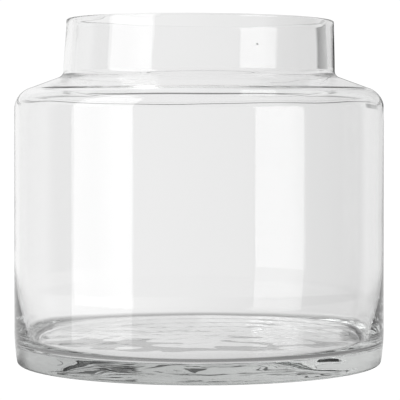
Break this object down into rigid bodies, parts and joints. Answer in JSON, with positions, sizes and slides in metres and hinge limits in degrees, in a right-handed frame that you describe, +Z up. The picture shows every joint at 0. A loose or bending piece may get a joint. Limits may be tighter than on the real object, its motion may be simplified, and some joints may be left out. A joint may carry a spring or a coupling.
{
  "type": "vase",
  "caption": "Clear glass vase with a wide straight body, rounded shoulder, short wide open collar and thick flat base.",
  "frame": {"origin": "centre of the underside, on the surface that the vase stands on", "axes": "+Z up along the axis that the vase turns about, from the base to the mouth; X and Y are free, because the vase is round"},
  "size_m": [0.189, 0.189, 0.175],
  "materials": {
    "clear_glass": "clear, smooth and glossy, with a fire-polished rim and faint mould ripples"
  },
  "bodies": {
    "root": {"glass_base": "clear_glass", "glass_wall": "clear_glass", "glass_shoulder": "clear_glass", "glass_collar": "clear_glass", "glass_rim": "clear_glass"}
  },
  "joints": []
}
